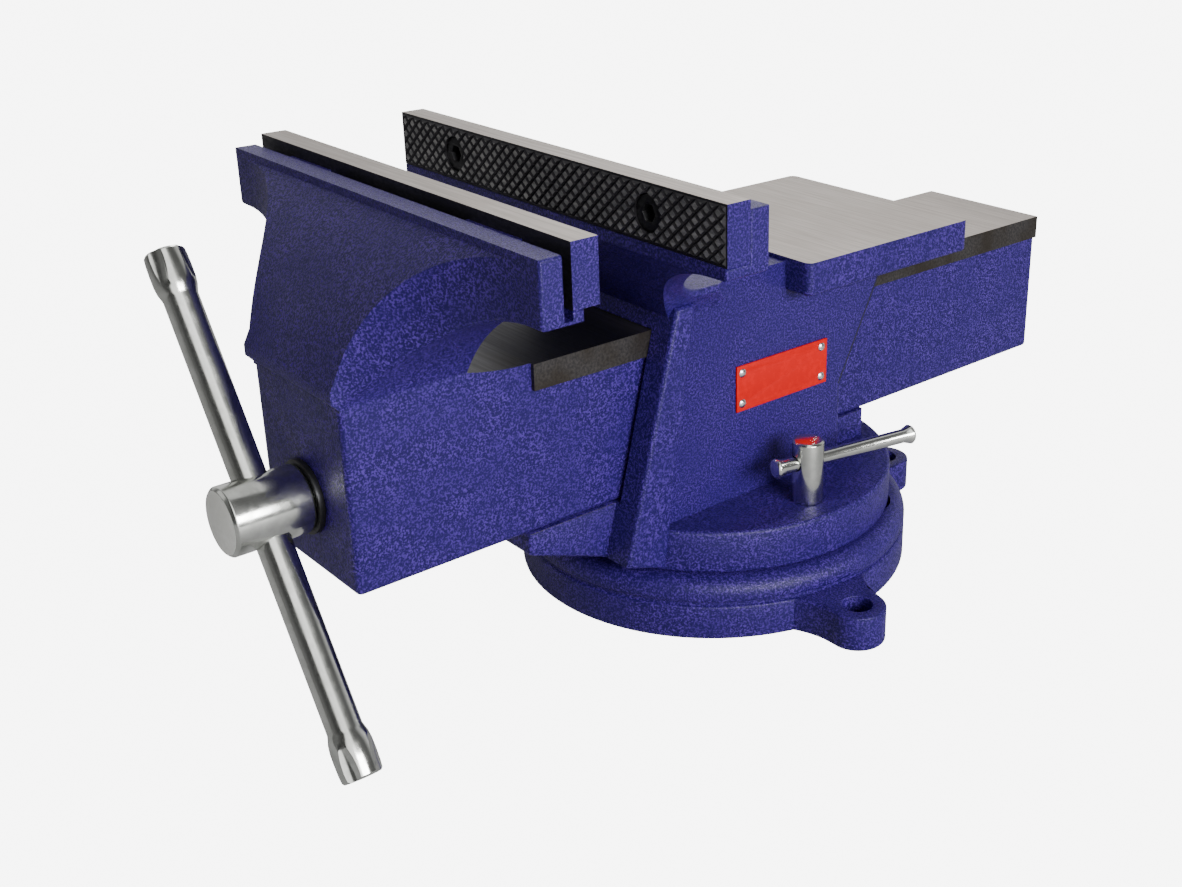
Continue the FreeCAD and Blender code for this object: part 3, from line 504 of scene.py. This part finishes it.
def jaw_finish(middle, normal):
    x, y, z = abs(middle.x), middle.y, middle.z
    on_moon = RAIL_FRONT - MOON_REACH < y < -40 and BEAM_TOP - 0.3 < z < CUT_TOP and x < RAIL_X + 0.3
    on_rail = y > RAIL_FRONT - 0.3 and RAIL_LOW - 0.3 < z < BEAM_TOP + 0.3 and x > RAIL_X
    # The half moon between the jaws takes the grease and painted shade.
    if normal.z > 0.7 and on_moon:
        return 3
    if normal.z > 0.9 and abs(z - BEAM_TOP) < 0.3:
        return 1
    return 2 if on_rail else 0

print("jaw edges eased:", ease(jaw, 1.3, jaw_width))
coat(jaw, [paint, beam_steel, oiled, grease_and_painted_shade], jaw_finish)
settle(jaw, "jaw", ["moving_jaw"])

# %% [markdown]
# The jaw plates grip with rows of blunt pyramids. A knurl could be a bump in the material, but
# a bump has no outline, so the teeth are real. A flat sheet is cut along both diagonals, each
# diamond is inset and raised, and the sheet's rim is drawn back to make the plate.

# %% Sizes of the jaw plates
PLATE = dict(width=200.0, height=21.5, thickness=11.0, low=166.5, screw_x=60.1, fixed_y=-83.0, moving_y=-133.0)
SCREW_HOLE = dict(head_radius=6.9, head_length=16.0, shank_radius=4.4, shank_length=40.0)
TOOTH = dict(depth=0.9, side=0.78, margin=0.8, across=70, up=8)

def boolean_cut(piece, radius, place, length):
    bpy.ops.object.select_all(action="DESELECT")
    bpy.ops.mesh.primitive_cylinder_add(vertices=48, radius=radius * MM, depth=length * MM,
                                        location=[v * MM for v in place], rotation=(math.pi / 2, 0, 0))
    cutter = bpy.context.active_object
    cut = piece.modifiers.new("hole", "BOOLEAN")
    cut.object = cutter
    cut.solver = "EXACT"
    only(piece)
    bpy.ops.object.modifier_apply(modifier=cut.name)
    bpy.data.objects.remove(cutter)

# %% Knurled plate
def knurled_plate(name, grip_y, facing):
    field = PLATE["width"] - 2 * TOOTH["margin"], PLATE["height"] - 2 * TOOTH["margin"]
    half_step = field[0] / TOOTH["across"], field[1] / TOOTH["up"]
    middle_z = PLATE["low"] + PLATE["height"] / 2
    root_y = grip_y - facing * TOOTH["depth"]
    bpy.ops.object.select_all(action="DESELECT")
    bpy.ops.mesh.primitive_plane_add(size=1, location=(0, root_y * MM, middle_z * MM),
                                     rotation=(-facing * math.pi / 2, 0, 0))
    plate = bpy.context.active_object
    plate.name = name
    plate.scale = (field[0] * MM, field[1] * MM, 1)
    bpy.ops.object.transform_apply(location=True, rotation=True, scale=True)
    edit(plate, "FACE")
    slope = half_step[1] / half_step[0]
    reach = TOOTH["across"] // 2 + TOOTH["up"]
    for side in (-1, 1):
        for k in range(-reach, reach + 1):
            start = Vector((2 * k * half_step[0] * MM, 0, (middle_z - field[1] / 2) * MM))
            bpy.ops.mesh.select_all(action="SELECT")
            bpy.ops.mesh.bisect(plane_co=start, plane_no=(slope, 0, side))
    bpy.ops.mesh.select_all(action="SELECT")
    bpy.ops.mesh.inset(thickness=TOOTH["side"] * MM, depth=TOOTH["depth"] * MM, use_individual=True)
    bpy.ops.mesh.select_all(action="DESELECT")
    bpy.ops.mesh.select_mode(type="EDGE")
    bpy.ops.mesh.select_non_manifold()
    centre = Vector((0, root_y * MM, middle_z * MM))
    bpy.ops.mesh.extrude_edges_move()
    bpy.ops.transform.resize(value=(PLATE["width"] / field[0], 1, PLATE["height"] / field[1]),
                             center_override=centre)
    back = -facing * (PLATE["thickness"] - TOOTH["depth"]) * MM
    bpy.ops.mesh.extrude_edges_move(TRANSFORM_OT_translate={"value": (0, back, 0)})
    bpy.ops.mesh.edge_face_add()
    bpy.ops.mesh.select_all(action="SELECT")
    bpy.ops.mesh.normals_make_consistent(inside=False)
    done()
    for x in (-PLATE["screw_x"], PLATE["screw_x"]):
        boolean_cut(plate, SCREW_HOLE["head_radius"], (x, grip_y, middle_z), SCREW_HOLE["head_length"])
        boolean_cut(plate, SCREW_HOLE["shank_radius"], (x, grip_y, middle_z), SCREW_HOLE["shank_length"])
    return plate

# %% [markdown]
# The two plates differ only in the way they face. On a used vise the top edge is ground bright,
# the ends have paint on them from the casting, and the tips of the teeth are worn pale, so each
# face gets its finish by where it lies.

# %% Both plates
def plate_finish(middle, normal):
    if normal.z > 0.9 and middle.z > PLATE["low"] + PLATE["height"] - 0.1:
        return 1
    tip_gap = min(abs(middle.y - PLATE["fixed_y"]), abs(middle.y - PLATE["moving_y"]))
    if abs(normal.y) > 0.99 and tip_gap < 0.05:
        return 3
    return 2 if abs(normal.x) > 0.9 and abs(middle.x) > PLATE["width"] / 2 - 0.1 else 0

for name, grip_y, facing, rider, node in (
        ("fixed_grip_plate", PLATE["fixed_y"], -1, "body", "fixed_jaw_plate"),
        ("moving_grip_plate", PLATE["moving_y"], 1, "jaw", "moving_jaw_plate")):
    plate = knurled_plate(name, grip_y, facing)
    coat(plate, [teeth, ground, paint, worn_tops], plate_finish)
    settle(plate, rider, [node], angle=20)

# %% [markdown]
# The bright parts are turned and plated bar. Their CAD shapes are right already: a welded copy
# takes a fine bevel on its rims, which catches the light as a plated edge does.

# %% Bright parts, fasteners and the small plate
SMALL_PARTS = [
    ("thrust_washer", "zinc", black, 0.2),
    ("lock_bolt_right", "zinc", zinc, 0.2), ("lock_bolt_left", "zinc", zinc, 0.2),
    ("lock_bar_right", "zinc", zinc, 0.15), ("lock_bar_left", "zinc", zinc, 0.15),
    ("fixed_jaw_screws", "dark_steel", black, 0.25), ("moving_jaw_screws", "dark_steel", black, 0.25),
    ("spindle_collar", "dark_steel", black, 0.3), ("collar_pin", "dark_steel", black, 0.2),
    ("spindle_nut", "nut_iron", iron, 0.6),
    ("nut_bolts", "dark_steel", black, 0.3), ("nut_washers", "dark_steel", black, 0.15),
    ("clamp_nut_right", "nut_iron", iron, 0.4), ("clamp_nut_left", "nut_iron", iron, 0.4),
    ("nameplate", "red_plate", red, 0.15), ("nameplate_rivets", "rivet_metal", bright, 0.1),
]
for node, slot, material, width in SMALL_PARTS:
    piece = welded_copy(node, node + "_finished")
    ease(piece, width, segments=2)
    coat(piece, [material], lambda middle, normal: 0)
    settle(piece, frame["nodes"][node]["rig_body"], [node])

# %% [markdown]
# The handle is bar stock. A die closes on each end so that it can't fall through the screw: the
# steel swells into a barrel, and the die's four noses leave scoops that fade out along it. The
# barrel is drawn from the bar's end face ring by ring. Each nose is a long round shape cut away.

# %% Handle bar with swaged ends
HANDLE = dict(radius=6.1, length=192.0, turn=124.8, y=-204.9, z=83.75)
BARREL = [(0.0, 6.1), (1.2, 6.4), (3.2, 7.0), (6.0, 7.36), (10.0, 7.4), (14.0, 7.3), (16.4, 7.1), (17.2, 6.5)]
WIDEST = max(width for place, width in BARREL)
NOSE = dict(radius=6.0, length=22.0, bite=1.35)

def swell(bar, side):
    """Draws the barrel out of one end face of the bar."""
    shoulder = HANDLE["length"] / 2 - BARREL[-1][0]
    edit(bar, "FACE")
    bpy.ops.mesh.select_all(action="DESELECT")
    done()
    for face in bar.data.polygons:
        face.select = face.normal.z * side > 0.9
    only(bar)
    bpy.ops.object.mode_set(mode="EDIT")
    place, width = BARREL[0]
    for new_place, new_width in BARREL[1:]:
        step = side * (new_place - place) * MM
        bpy.ops.mesh.extrude_region_move(TRANSFORM_OT_translate={"value": (0, 0, step)})
        ratio = new_width / width
        bpy.ops.transform.resize(value=(ratio, ratio, 1),
                                 center_override=(0, 0, side * (shoulder + new_place) * MM))
        place, width = new_place, new_width
    done()

def scoop(bar, side, turn):
    """Cuts one scoop, which is deepest at the bar's end."""
    reach = (WIDEST - NOSE["bite"] + NOSE["radius"]) * MM
    bpy.ops.object.select_all(action="DESELECT")
    bpy.ops.mesh.primitive_uv_sphere_add(
        segments=40, ring_count=24, radius=1,
        location=(reach * math.cos(turn), reach * math.sin(turn), side * HANDLE["length"] / 2 * MM))
    nose = bpy.context.active_object
    nose.scale = (NOSE["radius"] * MM, NOSE["radius"] * MM, NOSE["length"] * MM)
    cut = bar.modifiers.new("scoop", "BOOLEAN")
    cut.object = nose
    cut.solver = "EXACT"
    only(bar)
    bpy.ops.object.modifier_apply(modifier=cut.name)
    bpy.data.objects.remove(nose)

# %% The handle bar in its place
bpy.ops.object.select_all(action="DESELECT")
straight = HANDLE["length"] - 2 * BARREL[-1][0]
bpy.ops.mesh.primitive_cylinder_add(vertices=64, radius=HANDLE["radius"] * MM, depth=straight * MM)
bar = bpy.context.active_object
bar.name = "handle_bar_finished"
for side in (-1, 1):
    swell(bar, side)
    for k in range(4):
        scoop(bar, side, math.radians(45 + 90 * k))
bar.location = (0, HANDLE["y"] * MM, HANDLE["z"] * MM)
bar.rotation_euler = (0, math.radians(90 - HANDLE["turn"]), 0)
only(bar)
bpy.ops.object.transform_apply(location=True, rotation=True, scale=True)
coat(bar, [zinc], lambda middle, normal: 0)
settle(bar, "handle", ["handle_bar"])

# %% [markdown]
# The screw drives the jaw five millimetres a turn. Its thread could be rings, but rings don't
# climb, so one tooth is drawn and swept round the axis as it advances, over a slimmer core.
# The plain front of the spindle, with its cross hole, comes from the CAD mesh, cut off behind
# the collar.

# %% Screw thread
SCREW_Z, FACE_Y, THREAD_FRONT, THREAD_REAR, TIP = 83.75, -215, -156.0, 168.0, 176.0
PITCH, CREST, CORE, NOSE_RADIUS, ROOT_BITE = 5.0, 11.0, 8.6, 8.5, 0.3
RIDGE_WIDTH, CREST_SHARE, RUN_IN, STEPS = 3.9, 0.42, 3, 24

def solid_rod(radius, start, end):
    bpy.ops.object.select_all(action="DESELECT")
    bpy.ops.mesh.primitive_cylinder_add(
        vertices=48, radius=radius * MM, depth=(end - start) * MM,
        location=(0, (start + end) / 2 * MM, SCREW_Z * MM), rotation=(math.pi / 2, 0, 0))
    rod = bpy.context.active_object
    bpy.ops.object.transform_apply(location=True, rotation=True, scale=True)
    edit(rod, "EDGE")
    bpy.ops.mesh.select_all(action="DESELECT")
    bpy.ops.mesh.edges_select_sharp(sharpness=math.radians(60))
    bpy.ops.mesh.bevel(offset=0.4 * MM, segments=2)
    done()
    return rod

def thread_ridge():
    """One tooth, drawn as a flat shape and swept along the screw as it turns."""
    bpy.ops.object.select_all(action="DESELECT")
    bpy.ops.mesh.primitive_plane_add(size=1, location=(0, (THREAD_FRONT + RUN_IN) * MM, SCREW_Z * MM))
    ridge = bpy.context.active_object
    edit(ridge)
    bpy.ops.transform.rotate(value=math.pi / 2, orient_axis="Y", center_override=ridge.location)
    height = CREST - CORE + ROOT_BITE
    bpy.ops.transform.resize(value=(1, RIDGE_WIDTH * MM, height * MM), center_override=ridge.location)
    bpy.ops.transform.translate(value=(0, 0, (CREST - height / 2) * MM))
    done()
    for corner in ridge.data.vertices:
        corner.select = corner.co.z > (CREST - 0.1) * MM
    only(ridge)
    bpy.ops.object.mode_set(mode="EDIT")
    bpy.ops.transform.resize(value=(1, CREST_SHARE, 1), center_override=ridge.location)
    done()
    sweep = ridge.modifiers.new("thread", "SCREW")
    sweep.axis = "Y"
    sweep.screw_offset = PITCH * MM
    sweep.iterations = int((THREAD_REAR - THREAD_FRONT - 2 * RUN_IN) / PITCH)
    sweep.steps = sweep.render_steps = STEPS
    only(ridge)
    bpy.ops.object.modifier_apply(modifier=sweep.name)
    bpy.ops.object.transform_apply(location=True, rotation=True, scale=True)
    edit(ridge)
    bpy.ops.mesh.remove_doubles(threshold=0.001 * MM)
    bpy.ops.mesh.select_all(action="SELECT")
    bpy.ops.mesh.fill_holes(sides=4)
    bpy.ops.mesh.select_all(action="SELECT")
    bpy.ops.mesh.normals_make_consistent(inside=False)
    done()
    return ridge

# %% The whole spindle
def spindle_finish(middle, normal):
    if normal.y < -0.95 and middle.y < FACE_Y:
        return 2
    return 1 if THREAD_FRONT + 0.1 < middle.y < THREAD_REAR else 0

screw = welded_copy("spindle", "spindle_finished")
edit(screw)
bpy.ops.mesh.bisect(plane_co=(0, THREAD_FRONT * MM, 0), plane_no=(0, 1, 0), clear_outer=True, use_fill=True)
done()
print("spindle edges eased:", ease(screw, 0.3, segments=2))
threaded = [solid_rod(CORE, THREAD_FRONT - 2, THREAD_REAR + 1), solid_rod(NOSE_RADIUS, THREAD_REAR, TIP),
            thread_ridge()]
only(screw)
for piece in threaded:
    piece.select_set(True)
bpy.ops.object.join()
coat(screw, [zinc, ground, faced], spindle_finish)
settle(screw, "screw", ["spindle"])

# %% [markdown]
# Every CAD node keeps a finish of its own too, in case it is shown without its stand-in. One plain
# finish for each kind of metal is enough there, so the node's slot in the record picks it.

# %% Finishes for the CAD nodes
SLOT_FINISH = {"cast_paint": paint, "plate_steel": teeth, "zinc": zinc, "dark_steel": black,
               "nut_iron": iron, "red_plate": red, "rivet_metal": bright}
for part in frame["record"]["subparts"]:
    mesh = frame["nodes"][part["node"]].data
    mesh.materials.clear()
    mesh.materials.append(SLOT_FINISH[part["material_slot"]])
